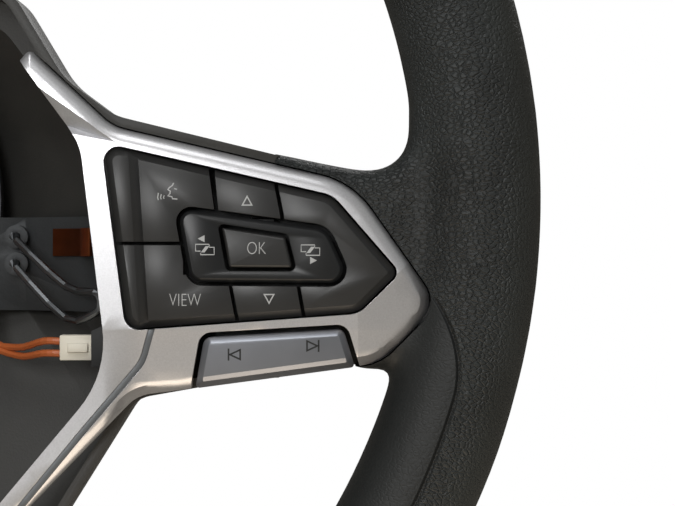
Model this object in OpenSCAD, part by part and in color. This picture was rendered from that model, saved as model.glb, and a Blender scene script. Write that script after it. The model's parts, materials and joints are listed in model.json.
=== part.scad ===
// Multifunction car steering wheel, airbag module taken out.
// The wheel is drawn lying face up: x to the right, y towards twelve o'clock and z towards the driver.
// Each sub-part is then stood up, so that the driver looks along +Y and the column leaves along +Y.

/* [Rim] */
// Outside diameter of the rim
rim_d = 370; // [350:1:390]
// Width of the rim section across the wheel
rim_w = 30.8; // [28:0.2:34]
// Depth of the rim section along the column
rim_t = 34; // [30:0.5:38]
// Height of the rim's middle above the hub's origin
dish = 45; // [42:0.5:50]
// Thickness of the leather
leather_t = 1.3; // [1:0.1:1.8]
// Room between the leather and the foam under it
soft_gap = 0.3; // [0.2:0.1:0.6]
// Radius of the seam between the grained and the smooth leather
seam_r = 170; // [166:0.5:173]
// Angle below three o'clock at which the smooth thumb panel starts
thumb_from = 8.6; // [6:0.2:10]
// Angle below three o'clock at which the smooth thumb panel ends
thumb_to = 58; // [45:1:62]

/* [Hub] */
// Radius of the plain column bore
bore_r = 9; // [8:0.1:10]
// Length of the plain column bore
bore_l = 10; // [8:0.5:12]
// Number of splines in the hub
splines = 36; // [24:2:48]
// Depth of the splines
spline_h = 0.8; // [0.5:0.1:1]
// Outside radius of the steel hub insert
insert_r = 16; // [14:0.5:18]
// Length of the steel hub insert
insert_l = 30; // [28:0.5:34]
// Radius of the die-cast hub plate
plate_r = 47.4; // [46:0.2:48]
// Thickness of the die-cast hub plate
plate_t = 5; // [4:0.5:7]
// Pitch circle diameter of the airbag module's three holes
module_pcd = 80; // [76:1:82]
// Radius of the airbag module's three holes
module_hole_r = 4; // [3:0.1:5]

/* [Armature] */
// Width of the cast ring inside the rim
ring_w = 16; // [12:0.5:18]
// Depth of the cast ring inside the rim
ring_t = 15; // [12:0.5:18]
// Wall of the cast ring and arms
cast_t = 3.5; // [3:0.1:4.5]
// Width of each side arm
arm_w = 24; // [20:0.5:28]
// Width of each lower arm
leg_w = 9; // [7:0.5:10]
// Distance of each lower arm from the middle line
leg_x = 31; // [29:0.5:33]

/* [Trim] */
// Height of the trim's face above the hub's origin
face_z = 57; // [56:0.5:60]
// Depth of the trim's outer skirt
skirt_h = 9; // [7:0.5:11]
// Wall of the trim
trim_t = 2.4; // [1.8:0.1:3]
// Width of the bevel along the trim's lower and outer edge
bevel_w = 2.6; // [1.5:0.1:3.2]
// Depth of that bevel
bevel_h = 2.2; // [1.5:0.1:3]
// Width of the dark inlay
inlay_w = 1.6; // [1.2:0.1:2.2]
// Depth of the inlay's groove
inlay_h = 1.2; // [0.8:0.1:1.6]
// Gap between the trim and what surrounds it
trim_gap = 0.3; // [0.2:0.05:0.5]

/* [Switches] */
// Gap between neighbouring keys
key_gap = 0.9; // [0.7:0.05:1.1]
// Height of the keys above the trim's face
key_proud = 0.6; // [0.2:0.1:1]
// Depth of a key's cap
key_h = 6; // [5:0.1:7]
// Wall of a key's cap
key_t = 1.3; // [1:0.1:1.6]
// Width of the bevel round the key field
key_bevel = 1.8; // [1:0.1:2.4]
// Travel of a pressed key
key_travel = 1; // [0.8:0.1:1.2]
// Radius of a key's guide stem
stem_r = 1.6; // [1.3:0.1:2]
// Gap round a guide stem
stem_gap = 0.3; // [0.2:0.05:0.4]
// Radius of the rockers' pivot pins
pin_r = 1.1; // [0.9:0.1:1.4]
// Running gap round a pivot pin
pin_gap = 0.06; // [0.03:0.01:0.1]
// Gap beside the metal rocker
notch_gap = 1.2; // [1:0.1:1.5]
// Thickness of the circuit board
board_t = 1.6; // [1:0.1:2]
// Thickness of the rubber dome mat
mat_t = 0.8; // [0.6:0.1:1.2]
// Height of a dome above the mat
dome_h = 1.5; // [1:0.1:1.8]

/* [Rear cover] */
// Wall of the rear cover
cover_t = 2.4; // [2:0.1:3]
// Height of the rear cover's floor behind the spokes
cover_z = 28; // [26:0.5:29]
// Radius of the opening round the column
column_r = 38; // [34:0.5:38.5]

/* [Hidden] */

// Facets of a full circle, and steps of a rounded corner
$fn = 64;
corner_steps = 6;
// Points of the rim's section
section_points = 40;
// Squareness of the rim's section, 2 is an ellipse
section_power = 2.25;
// Overlap that makes a cut run clear through a face
eps = 1;

rim_a = rim_w / 2;
rim_b = rim_t / 2;
// The wheel is drawn at this diameter, and scales as a whole to rim_d
drawn_d = 370;
rim_r = drawn_d / 2 - rim_a;
rim_in = drawn_d / 2 - rim_w;
key_z = face_z + key_proud;
key_low = key_z - key_h;
// Heights inside the switch, from the pressed key downwards
deck_top = key_low - key_travel - 0.4;
deck_t = 1.6;
deck_low = deck_top - deck_t;
stem_low = deck_low - 0.1;
dome_top = stem_low - key_travel - 0.3;
mat_z = dome_top - dome_h - mat_t;
board_z = mat_z - board_t;
back_z = board_z - 2.6;
back_t = 1.6;
pivot_z = deck_low - 1.4;
arm_top = back_z - 1.2;

// Corners are [x, y, corner radius], anticlockwise, for the right-hand side.
// The trim's pocket side runs inside the airbag pocket, which cuts it to its true edge.
trim_corners = [[55.5, 31, 2], [64, -36, 4], [30, -84, 8], [25, -112, 14], [24.5, -151.3, 1.5],
  [35, -150.5, 1.5], [38, -112, 30], [53, -82, 30], [86, -47.85, 10], [142.9, -40.4, 1.4],
  [159.1, -24.6, 7], [138.4, 3.9, 21], [80.4, 17.45, 12], [60, 36.4, 1.5]];
pocket_half = [[40.8, -88.4, 18], [79.4, -42.4, 26], [72.6, 13, 14], [50, 44, 16], [30, 51, 24]];
keypad_corners = [[78.1, 13.1, 3.3], [84, -31.6, 3.5], [139.8, -27.5, 6], [149.5, -18, 2.2], [133.5, 0.4, 7]];
ring_corners = [[96.1, -2.4, 2.8], [99.4, -20.2, 3.5], [138, -20.5, 3.4], [132.2, -7.4, 5]];
ok_corners = [[105.8, -6, 1.2], [107.9, -17.6, 1.5], [125.1, -17.7, 1.5], [122.9, -8.6, 1.5]];
track_corners = [[102.6, -33.6, 2.2], [100.4, -46, 0.8], [139, -40.85, 0.8], [136.2, -31.6, 2]];
// Outline of the hub and spokes behind the trim: dark strip above, the trim's own edge below
spider_half = [[38, -149.5, 2], [42, -124, 30], [58.6, -91.8, 30],
  [85.4, -48.9, 8], [128, -41.4, 3], [128, 8.6, 3], [80.8, 20.1, 14], [68.5, 29.2, 20],
  [56, 50, 14], [34, 60, 28]];
// Leather root where the rim flows into the spoke
root_corners = [[120, 10.7, 1.6], [120, -6, 1.6], [130, -38, 3], [143.5, -42.5, 5], [152.5, -37.4, 3],
  [166, -37, 1], [166, 40, 1], [152.6, 28, 16], [153.5, 3.6, 10], [137, 6.6, 20]];
inlay_path = [[90.2, -30.4, 1], [87.6, -39.6, 10], [74, -55.4, 60], [47, -88, 40], [34.5, -112, 40],
  [31, -149, 1]];

// Geometry helpers

function unit(v) = v / norm(v);
function turn(v) = [-v[1], v[0]];
function angle_of(v) = atan2(v[1], v[0]);
function wrap(a) = a > 180 ? a - 360 : a < -180 ? a + 360 : a;

// Points of one rounded corner b between its neighbours a and c
function corner(a, b, c, r) =
  let (p = [b[0], b[1]], u = unit([a[0], a[1]] - p), v = unit([c[0], c[1]] - p),
    half = acos(u * v) / 2, mid = p + unit(u + v) * r / sin(half),
    first = angle_of(p + u * r / tan(half) - mid), last = angle_of(p + v * r / tan(half) - mid),
    sweep = wrap(last - first))
  [for (i = [0:corner_steps]) mid + r * [cos(first + sweep * i / corner_steps),
    sin(first + sweep * i / corner_steps)]];

function rounded(c) = let (n = len(c))
  [for (i = [0:n - 1]) each corner(c[(i + n - 1) % n], c[i], c[(i + 1) % n], c[i][2])];

// An open path with rounded inner corners
function rounded_path(c) = let (n = len(c))
  [for (i = [0:n - 1]) each i == 0 || i == n - 1 ? [[c[i][0], c[i][1]]] : corner(c[i - 1], c[i], c[i + 1], c[i][2])];

// An anticlockwise outline moved inwards by d, point for point
function inset(p, d) = let (n = len(p))
  [for (i = [0:n - 1]) let (a = turn(unit(p[i] - p[(i + n - 1) % n])), b = turn(unit(p[(i + 1) % n] - p[i])))
    p[i] + (a + b) * d / (1 + a * b)];

// A band of width w along an open path
function band(p, w) = let (n = len(p),
    side = [for (i = [0:n - 1]) turn(unit(p[min(i + 1, n - 1)] - p[max(i - 1, 0)]))])
  concat([for (i = [0:n - 1]) p[i] - side[i] * w / 2], [for (i = [n - 1:-1:0]) p[i] + side[i] * w / 2]);

// Corners of the same outline moved inwards by d: outer corners get sharper, inner ones rounder
function shrink(c, d) = let (n = len(c), p = [for (a = c) [a[0], a[1]]], q = inset(p, d))
  [for (i = [0:n - 1]) let (a = p[i] - p[(i + n - 1) % n], b = p[(i + 1) % n] - p[i],
    r = c[i][2] - d * sign(a[0] * b[1] - a[1] * b[0])) [q[i][0], q[i][1], max(r, 0.3)]];

// Points of a rounded outline, moved inwards by d
function line(c, d = 0) = rounded(shrink(c, d));

function mirrored(c) = [for (i = [len(c) - 1:-1:0]) [-c[i][0], c[i][1], c[i][2]]];

// Section of the rim, smaller all round by d
function section(d) = [for (i = [0:section_points - 1]) let (t = 360 * i / section_points)
  [rim_r + (rim_a - d) * sign(cos(t)) * pow(abs(cos(t)), 2 / section_power),
    dish + (rim_b - d) * sign(sin(t)) * pow(abs(sin(t)), 2 / section_power)]];

pocket_corners = concat(pocket_half, mirrored(pocket_half));
spider_corners = concat(spider_half, mirrored(spider_half));

module stand() scale(rim_d / drawn_d) rotate([90, 0, 0]) children();

module slab(p, low, high) translate([0, 0, low]) linear_extrude(high - low) polygon(p);

// A solid through outlines of as many points: each level is [outline, height], from the lowest up
module loft(levels) {
  n = len(levels[0][0]);
  m = len(levels);
  polyhedron([for (v = levels) for (a = v[0]) [a[0], a[1], v[1]]],
    concat([[for (i = [0:n - 1]) i]], [[for (i = [n - 1:-1:0]) (m - 1) * n + i]],
      [for (k = [0:m - 2]) for (i = [0:n - 1]) let (a = k * n + i, b = k * n + (i + 1) % n)
        each [[a, a + n, b], [b, a + n, b + n]]]));
}

// A slab with the outline c moved in by d, and its upper edge bevelled
module bevelled(c, low, high, w, h, d = 0)
  loft([[line(c, d), low], [line(c, d), high - h], [line(c, d + w), high]]);

module both_sides() {
  children();
  mirror([1, 0, 0]) children();
}

// A round cord through points, as one closed solid
module cord(points, r, sides = 8) {
  n = len(points);
  rings = [for (i = [0:n - 1]) let (d = unit(points[min(i + 1, n - 1)] - points[max(i - 1, 0)]),
      a = unit(cross(d, abs(d[2]) > 0.9 ? [1, 0, 0] : [0, 0, 1])), b = cross(d, a))
    for (k = [0:sides - 1]) points[i] + r * (a * cos(360 * k / sides) + b * sin(360 * k / sides))];
  polyhedron(rings, concat([[for (k = [0:sides - 1]) k]],
    [[for (k = [sides - 1:-1:0]) (n - 1) * sides + k]],
    [for (i = [0:n - 2]) for (k = [0:sides - 1]) let (a = i * sides + k, b = i * sides + (k + 1) % sides)
      each [[a, a + sides, b], [b, a + sides, b + sides]]]));
}

// A smooth run of points through the given ones
function smooth(c, steps) = let (n = len(c))
  concat([for (i = [0:n - 2]) let (p0 = c[max(i - 1, 0)], p1 = c[i], p2 = c[i + 1], p3 = c[min(i + 2, n - 1)])
    for (s = [0:steps - 1]) let (t = s / steps)
      ((2 * p1) + (p2 - p0) * t + (2 * p0 - 5 * p1 + 4 * p2 - p3) * t * t
        + (3 * p1 - p0 - 3 * p2 + p3) * t * t * t) / 2], [c[n - 1]]);

// Rim

module ring_section() {
  low = dish - ring_t / 2;
  difference() {
    translate([rim_r - ring_w / 2, low]) square([ring_w, ring_t]);
    translate([rim_r - ring_w / 2 + cast_t, low - eps]) square([ring_w - 2 * cast_t, ring_t - cast_t + eps]);
  }
}

// Side arm of the casting seen along y, from the hub plate up into the ring
arm_profile = [[insert_r + 2, 8], [50, 10], [60, 14.4], [79, 31.2], [150, 31.4], [rim_r - 2, dish - ring_t / 2],
  [rim_r - ring_w / 2 + cast_t, dish + 2], [rim_r - ring_w / 2 - 2, dish + 2], [150, arm_top], [80, arm_top],
  [54, 16], [insert_r + 2, 14]];
// Lower arm of the casting seen along x
leg_profile = [[-20, 9], [-46, 9.6], [-50, 11.2], [-89, 31.8], [-150, 33], [-rim_r + 2, dish - ring_t / 2],
  [-rim_r + ring_w / 2 - cast_t, dish + 2], [-rim_r + ring_w / 2 + 2, dish + 2], [-148, 41], [-86, 41], [-50, 16],
  [-20, 15]];
arm_y = -16;

module arm_solid() translate([0, arm_y + arm_w / 2, 0]) rotate([90, 0, 0])
  linear_extrude(arm_w) polygon(arm_profile);

module leg_solid() translate([leg_x - leg_w / 2, 0, 0]) rotate([90, 0, 90])
  linear_extrude(leg_w) polygon(leg_profile);

module cast_limbs() both_sides() {
  arm_solid();
  leg_solid();
}

screw_x = [98, 138];
screw_r = 1.95;
module_angles = [90, 210, 330];
cover_angles = [30, 150, 270];
cover_pcd = 84;
clip_x = 52;
clip_y = [-9, -16];
clip_r = 1;
plate_z = 10;

module armature() color("#8f9295") stand() difference() {
  union() {
    rotate_extrude() ring_section();
    cast_limbs();
    translate([0, 0, plate_z]) cylinder(r = plate_r, h = plate_t);
    translate([0, 0, 0]) cylinder(r = insert_r + 4, h = plate_z + plate_t + 6);
    // Ribs from the boss to the plate's edge
    for (a = [0:60:300]) rotate(a) translate([insert_r + 2, -1.5, plate_z + plate_t - eps])
      cube([plate_r - insert_r - 4, 3, 4 + eps]);
    for (a = cover_angles) rotate(a) translate([cover_pcd / 2, 0, cover_t])
      cylinder(r = 3.6, h = plate_z - cover_t + eps);
    // Sockets of the module clips
    both_sides() for (y = clip_y) translate([clip_x, y, plate_z + 2]) cylinder(r = 3, h = 8);
  }
  translate([0, 0, -eps]) cylinder(r = insert_r, h = insert_l + 2 * eps);
  for (a = module_angles) rotate(a) translate([module_pcd / 2, 0, 0]) cylinder(r = module_hole_r, h = 40);
  for (a = cover_angles) rotate(a) translate([cover_pcd / 2, 0, 0]) cylinder(r = screw_r, h = 12);
  both_sides() for (y = clip_y) translate([clip_x, y, plate_z + 4]) cylinder(r = clip_r + 0.12, h = 20);
  // Counterbored screw holes under the switches
  both_sides() for (x = screw_x) translate([x, arm_y, 0]) {
    cylinder(r = screw_r + 0.15, h = 60);
    cylinder(r = 4.2, h = 34.4);
  }
}

module hub_insert() color("#b7b9bb") stand() difference() {
  translate([0, 0, -bore_l / 2]) union() {
    cylinder(r = insert_r, h = insert_l);
    cylinder(r = insert_r + 3, h = bore_l / 2 - 0.5);
  }
  translate([0, 0, -bore_l / 2 - eps]) cylinder(r = bore_r, h = bore_l + eps);
  // Splines, then the seat of the column's bolt
  translate([0, 0, bore_l / 2 - eps]) linear_extrude(13 + eps)
    polygon([for (i = [0:2 * splines - 1]) (bore_r - 0.15 - (i % 2) * spline_h)
      * [cos(180 * i / splines), sin(180 * i / splines)]]);
  translate([0, 0, bore_l / 2 + 12]) cylinder(r = bore_r - 1.5, h = insert_l);
}

module rim_foam() color("#2a2b2c") stand() difference() {
  union() {
    rotate_extrude() polygon(section(leather_t + soft_gap));
    both_sides() slab(line(root_corners, leather_t + soft_gap), root_low + leather_t + soft_gap,
      arm_top - leather_t - soft_gap);
  }
  rotate_extrude() difference() {
    translate([rim_r - ring_w / 2, dish - ring_t / 2]) square([ring_w, ring_t]);
    translate([rim_r - ring_w / 2 + cast_t, dish - ring_t / 2 - eps])
      square([ring_w - 2 * cast_t, ring_t - cast_t + eps]);
  }
  cast_limbs();
  both_sides() for (x = screw_x) translate([x, arm_y, 0]) cylinder(r = 5, h = 60);
  both_sides() slab(line(trim_corners, -trim_gap - soft_gap), face_z - skirt_h - trim_gap - soft_gap, 80);
}

// The root follows the spoke's upper strip and drops under the trim
root_low = cover_z + 0.7;

module root_solid() difference() {
  bevelled(root_corners, root_low, face_z - 0.6, 1.2, 1.6);
  slab(line(trim_corners, -trim_gap), arm_top, face_z + eps);
}

module leather_body() difference() {
  union() {
    rotate_extrude() polygon(section(0));
    both_sides() root_solid();
  }
  rotate_extrude() polygon(section(leather_t));
  both_sides() slab(line(root_corners, leather_t), root_low + leather_t, arm_top - leather_t);
  both_sides() slab(line(trim_corners, -trim_gap), face_z - skirt_h - trim_gap, face_z + 30);
  cast_limbs();
}

// Room that the smooth thumb panel takes out of the leather ring
module thumb_zone() rotate(-thumb_to) rotate_extrude(angle = thumb_to - thumb_from)
  translate([100, dish - rim_t]) square([seam_r - 100, 2 * rim_t]);

module grip_leather() color("#323436") stand() difference() {
  leather_body();
  both_sides() thumb_zone();
}

module thumb_leather() color("#2f3133") stand() intersection() {
  leather_body();
  thumb_zone();
}

module thumb_leather_right() thumb_leather();

module thumb_leather_left() mirror([1, 0, 0]) thumb_leather();

// Rear cover

// Room between the rear cover and the parts inside it
cover_gap = 0.4;
slot_corners = [[-20, -160, 1], [20, -160, 1], [21, -106, 14], [-21, -106, 14]];

// Dish of the hub, from the round column opening out to the pocket's outline
module bowl(d) {
  rim = line(pocket_corners, d - cover_t);
  loft([[[for (p = rim) (column_r + 12 - d) * unit(p - [0, -20])], d], [rim, cover_z + d]]);
}

module rear_cover() color("#1d1e1f") stand() difference() {
  union() {
    difference() {
      slab(line(spider_corners), cover_z, face_z - skirt_h - trim_gap);
      slab(line(spider_corners, cover_t), cover_z + cover_t, face_z);
    }
    // Strip that shows above the trim, and the wall round the top of the hub
    intersection() {
      difference() {
        slab(line(spider_corners), face_z - skirt_h - trim_gap - 0.01, face_z - 2);
        slab(line(spider_corners, cover_t), cover_z, face_z);
      }
      translate([-125, 0, 0]) cube([250, 80, 80]);
    }
    bowl(0);
    // Walls of the slot in the bottom spoke
    intersection() {
      slab(line(slot_corners, -cover_t), cover_z, face_z - skirt_h - trim_gap);
      slab(line(spider_corners), cover_z, face_z);
    }
  }
  bowl(cover_t);
  translate([0, 0, -30]) cylinder(r = column_r, h = 60);
  slab(line(pocket_corners), cover_z + cover_t, 80);
  slab(line(slot_corners), 0, 80);
  both_sides() slab(line(trim_corners, -trim_gap), face_z - skirt_h - trim_gap, 80);
  both_sides() slab(line(root_corners, -trim_gap), 0, 80);
  for (a = cover_angles) rotate(a) translate([cover_pcd / 2, 0, -5]) {
    cylinder(r = screw_r + 0.15, h = 20);
  }
  cast_limbs();
  both_sides() translate([0, 0, back_z - cover_gap]) linear_extrude(80) frame_outline(-cover_gap);
  translate([0, 0, plate_z - cover_gap]) cylinder(r = plate_r + cover_gap, h = plate_t + 2 * cover_gap);
}

// Trim

notch_corners = [track_corners[0], [98.6, -56, 1], [143.6, -56, 1], track_corners[3]];

// Everything of the trim's plane that is left beside the pocket, the key field and the rocker's notch
module trim_plan() difference() {
  translate([10, -170]) square([170, 220]);
  polygon(line(pocket_corners));
  polygon(line(keypad_corners, -key_gap / 2));
  polygon(line(notch_corners, -notch_gap));
}

over = 0.1;

module trim() difference() {
  intersection() {
    // The bevel runs on past the face, which the plan cuts flat
    bevelled(trim_corners, face_z - skirt_h - eps, face_z + bevel_h * over, bevel_w * (1 + over),
      bevel_h * (1 + over));
    translate([0, 0, face_z - skirt_h]) linear_extrude(skirt_h) trim_plan();
  }
  // Hollow behind the face
  slab(line(trim_corners, trim_t), face_z - skirt_h - eps, face_z - trim_t - 1.2);
  slab(band(rounded_path(inlay_path), inlay_w), face_z - inlay_h, face_z + eps);
}

module trim_right() color("#c9cacc") stand() trim();

module trim_left() color("#c9cacc") stand() mirror([1, 0, 0]) trim();

module inlay() difference() {
  slab(band(rounded_path(inlay_path), inlay_w), face_z - inlay_h, face_z - 0.2);
  slab(line(keypad_corners, -key_gap / 2), 0, 80);
  translate([0, -250, 0]) cube([200, 100, 80]);
}

module inlay_right() color("#6d7072") stand() inlay();

module inlay_left() color("#6d7072") stand() mirror([1, 0, 0]) inlay();

// Switches, each piece drawn for the right-hand side

// Cells of the key field: its corners reach past the field, which trims them
cells = [
  [[60, 30], [60, -10.9], [98, -10.9], [98, -4], [105.7, -4], [103.4, 12], [103.4, 30]],
  [[103.4, 30], [104.2, 12], [105.7, -4], [106.2, -9], [121.7, -9], [121.4, -4], [119, 8], [119, 30]],
  [[60, -10.9], [60, -50], [111.4, -50], [110.9, -31], [108.4, -18], [98, -18], [98, -10.9]],
  [[108.4, -18], [110.9, -31], [111.4, -50], [127.6, -50], [127.1, -31], [124.8, -18]],
  [[119, 30], [119, 8], [121.4, -4], [121.8, -10], [124, -15], [124.8, -18], [127.1, -31], [127.6, -50],
    [170, -50], [170, 30]]];
// Guide stems of the four keys and of the key in the middle
stems = [[[94, 2], [84, -4]], [[111, 0.2], [117, 0.2]], [[94, -24], [88, -18]], [[113, -24.2], [121, -24.2]],
  [[112, -12.5], [119.5, -12.5]]];
page_x = (ring_corners[0][0] + ring_corners[2][0]) / 2;
page_y = [-5.9, -19.1];
track_x = (track_corners[0][0] + track_corners[3][0]) / 2;
track_y = [-35.2, -41.6];

module key_shape(cell, low, d = 0) difference() {
  intersection() {
    bevelled(keypad_corners, low, key_z - d, max(key_bevel - d, 0.2), 1.8);
    slab(inset(cell, key_gap / 2 + d), low, key_z);
  }
  slab(line(ring_corners, -key_gap - d), 0, 80);
}

module stem(at, top) translate([at[0], at[1], stem_low]) cylinder(r = stem_r, h = top - stem_low);

// Band between the flank and the face of the two keys by the pocket
flank_line = [[85.4, 30], [89.9, -40], [87.6, -40], [83.1, 30]];

module key(n) {
  difference() {
    key_shape(cells[n], key_low);
    intersection() {
      key_shape(cells[n], key_low - eps);
      translate([0, 0, key_low - eps]) linear_extrude(key_h - key_t - 0.6 + eps)
        polygon(inset(cells[n], key_gap / 2 + key_t));
      slab(line(keypad_corners, key_bevel + 0.6), 0, key_z - key_t);
      difference() {
        slab(line(keypad_corners), 0, key_z);
        slab(line(ring_corners, -key_gap - key_t), 0, key_z);
      }
    }
    if (n % 2 == 0) slab(flank_line, key_z - 0.5, 80);
  }
  for (at = stems[n]) stem(at, key_z - key_t);
}

module ok_key_shape() {
  difference() {
    bevelled(ok_corners, key_low, key_z, 0.5, 0.5, key_gap);
    slab(line(ok_corners, key_gap + key_t), key_low - eps, key_z - key_t);
  }
  for (at = stems[4]) stem(at, key_z - key_t);
}

module page_pins(r, reach) for (y = page_y) translate([page_x, y, pivot_z]) rotate([90, 0, 0])
  cylinder(r = r, h = reach, center = true);

module page_rocker_shape() {
  difference() {
    bevelled(ring_corners, key_low + 0.6, key_z, 0.9, 0.9);
    slab(line(ok_corners), 0, 80);
    slab(line(ring_corners, 2.2), key_low - eps, key_z - key_t - 0.4);
  }
  difference() {
    for (y = page_y) translate([page_x - 2.4, y - 0.9, pivot_z - pin_r]) cube([4.8, 1.8, key_z - 1.5 - pivot_z + pin_r]);
    slab(line(ok_corners, -0.01), 0, 80);
  }
  page_pins(pin_r, 4.4);
}

module track_rocker_shape() {
  difference() {
    bevelled(track_corners, key_low, key_z - 0.2, 1.5, 1.4);
    slab(line(track_corners, 2.2), key_low - eps, key_z - 2.2);
  }
  for (y = track_y) translate([track_x - 2.4, y - 0.9, pivot_z - pin_r]) cube([4.8, 1.8, key_z - 2 - pivot_z + pin_r]);
  for (y = track_y) translate([track_x, y, pivot_z]) rotate([90, 0, 0]) cylinder(r = pin_r, h = 4.4, center = true);
}

module wing_cover_shape() {
  difference() {
    key_shape(cells[4], key_low);
    translate([0, 0, key_low - eps]) linear_extrude(key_h - key_t - 0.6 + eps)
      intersection() {
        polygon(inset(cells[4], key_gap / 2 + key_t));
        polygon(line(keypad_corners, key_bevel + 0.6));
        difference() {
          square(400, center = true);
          polygon(line(ring_corners, -key_gap - key_t));
        }
      }
  }
  // Feet that stand on the deck
  for (at = [[141.5, -16], [132, -24.3], [128, -2.4]]) translate([at[0], at[1], deck_top])
    cylinder(r = 1.8, h = key_z - key_t - deck_top);
}

// Lobe of the switch frame that carries the metal rocker
frame_lobe = [[105, -26], [105, -44], [116, -44.6], [124, -44.6], [136.5, -41.4], [135, -26]];

// Lobe with the socket of the switch plug
socket_lobe = [[74.6, -32.3], [74.6, -41], [96, -41], [96, -26], [88, -26]];

module frame_outline(d) {
  polygon(line(keypad_corners, 0.8 + d));
  polygon(inset(socket_lobe, d));
  polygon(inset([for (i = [0:5]) [frame_lobe[i][0], frame_lobe[i][1]]], d));
}

module key_frame_shape() difference() {
  union() {
    translate([0, 0, deck_low]) linear_extrude(deck_t) frame_outline(0);
    difference() {
      translate([0, 0, back_z + back_t]) linear_extrude(deck_low - back_z - back_t + 0.01) frame_outline(0);
      translate([0, 0, 0]) linear_extrude(80) frame_outline(1.6);
    }
    // Lugs under the deck for the rockers' pins
    for (y = [page_y[0] + 1.9, page_y[1] - 1.9]) translate([page_x - 3, y - 0.9, pivot_z - 2.2])
      cube([6, 1.8, deck_low - pivot_z + 2.2 + 0.01]);
    for (y = [track_y[0] + 1.9, track_y[1] - 1.9]) translate([track_x - 3, y - 0.9, pivot_z - 2.2])
      cube([6, 1.8, deck_low - pivot_z + 2.2 + 0.01]);
  }
  for (run = stems) for (at = run) translate([at[0], at[1], 0]) cylinder(r = stem_r + stem_gap, h = 80);
  // Slots for the rockers' legs, and bores for their pins
  for (y = page_y) translate([page_x - 3.4, y - 1.3, deck_low - eps]) cube([6.8, 2.6, deck_t + 2 * eps]);
  for (y = track_y) translate([track_x - 3.4, y - 1.3, deck_low - eps]) cube([6.8, 2.6, deck_t + 2 * eps]);
  for (y = page_y) translate([page_x, y, pivot_z]) rotate([90, 0, 0])
    cylinder(r = pin_r + pin_gap, h = 6.2, center = true);
  for (y = track_y) translate([track_x, y, pivot_z]) rotate([90, 0, 0])
    cylinder(r = pin_r + pin_gap, h = 6.2, center = true);
}

module switch_back_shape() {
  difference() {
    union() {
      translate([0, 0, back_z]) linear_extrude(back_t) frame_outline(0);
      // Posts that carry the board
      for (at = [[84.5, 4], [87.8, -26], [136, -23.4], [130, -4]]) translate([at[0], at[1], back_z + back_t - 0.01])
        cylinder(r = 1.6, h = board_z - back_z - back_t + 0.01);
      for (x = screw_x) translate([x, arm_y, arm_top]) cylinder(r = 4.4, h = back_z - arm_top + 0.01);
    }
    for (x = screw_x) translate([x, arm_y, 0]) cylinder(r = screw_r, h = 80);
  }
}

module board_shape() translate([0, 0, board_z]) linear_extrude(board_t) polygon(line(keypad_corners, 2.8));

module dome_mat_shape() {
  difference() {
    slab(line(keypad_corners, 3.2), mat_z, mat_z + mat_t);
    for (y = [page_y[0] + 1.9, page_y[1] - 1.9]) translate([page_x - 3.4, y - 1.3, 0]) cube([6.8, 2.6, 80]);
  }
  for (run = stems) translate([run[0][0], run[0][1], mat_z + mat_t - 0.01]) cylinder(r = 2.6, h = dome_h + 0.01);
}

module sided(right, tone) color(tone) stand() {
  if (right) children();
  else mirror([1, 0, 0]) children();
}

module key_frame_right() sided(true, "#191a1b") key_frame_shape();
module key_frame_left() sided(false, "#191a1b") key_frame_shape();
module switch_back_right() sided(true, "#202122") switch_back_shape();
module switch_back_left() sided(false, "#202122") switch_back_shape();
module board_right() sided(true, "#2c5a3c") board_shape();
module board_left() sided(false, "#2c5a3c") board_shape();
module dome_mat_right() sided(true, "#55595c") dome_mat_shape();
module dome_mat_left() sided(false, "#55595c") dome_mat_shape();
module wing_cover_right() sided(true, "#3a3b3b") wing_cover_shape();
module wing_cover_left() sided(false, "#3a3b3b") wing_cover_shape();
module voice_key() sided(true, "#454545") key(0);
module up_key() sided(true, "#434343") key(1);
module view_key() sided(true, "#383a39") key(2);
module down_key() sided(true, "#353736") key(3);
module ok_key() sided(true, "#3d3d3e") ok_key_shape();
module page_rocker() sided(true, "#333435") page_rocker_shape();
module track_rocker() sided(true, "#9b9ea6") track_rocker_shape();
module assist_key() sided(false, "#454545") key(0);
module plus_key() sided(false, "#434343") key(1);
module resume_key() sided(false, "#383a39") key(2);
module minus_key() sided(false, "#353736") key(3);
module set_key() sided(false, "#3d3d3e") ok_key_shape();
module distance_rocker() sided(false, "#333435") page_rocker_shape();
module speed_rocker() sided(false, "#9b9ea6") track_rocker_shape();

// Pieces in the pocket

module module_clip() cord(smooth([[clip_x, clip_y[0], plate_z + 4.2], [clip_x, clip_y[0], 20],
  [clip_x + 1, clip_y[0] - 1, 26], [67, -21.5, 38], [75, -23, 45], [76.4, -25.5, 46],
  [75, -28, 45], [67, -29.5, 38], [clip_x + 1, clip_y[1] - 1, 26], [clip_x, clip_y[1], 20],
  [clip_x, clip_y[1], plate_z + 4.2]], 3), clip_r);

module module_clip_right() sided(true, "#7d8084") module_clip();
module module_clip_left() sided(false, "#7d8084") module_clip();

// Height of the side arm's sloping top at x
function arm_line(x) = 16 + (x - 54) * (arm_top - 16) / 26;

module horn_contact() translate([0, -7, 0]) rotate([90, 0, 0]) linear_extrude(7)
  polygon([[62, arm_line(62)], [70.4, arm_line(70.4)], [72.2, 42], [74.4, 45], [73.7, 45.7], [71.3, 42.5],
    [69.6, arm_line(69.6) + 1.1], [62, arm_line(62) + 1.1]]);

module horn_contact_right() sided(true, "#b0705c") horn_contact();
module horn_contact_left() sided(false, "#b0705c") horn_contact();

plug_y = [-39.6, -33.4];

module switch_plug() {
  translate([66.5, plug_y[0], 41.4]) cube([socket_lobe[0][0] - 66.5, plug_y[1] - plug_y[0], 5.6]);
  translate([68.5, plug_y[0] + 2, 46.8]) cube([5, 2.2, 1.2]);
}

module switch_plug_right() sided(true, "#d8d4c8") switch_plug();
module switch_plug_left() sided(false, "#d8d4c8") switch_plug();

plug_w = 18;
main_y = 24;
main_z = plate_z + plate_t;

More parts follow.
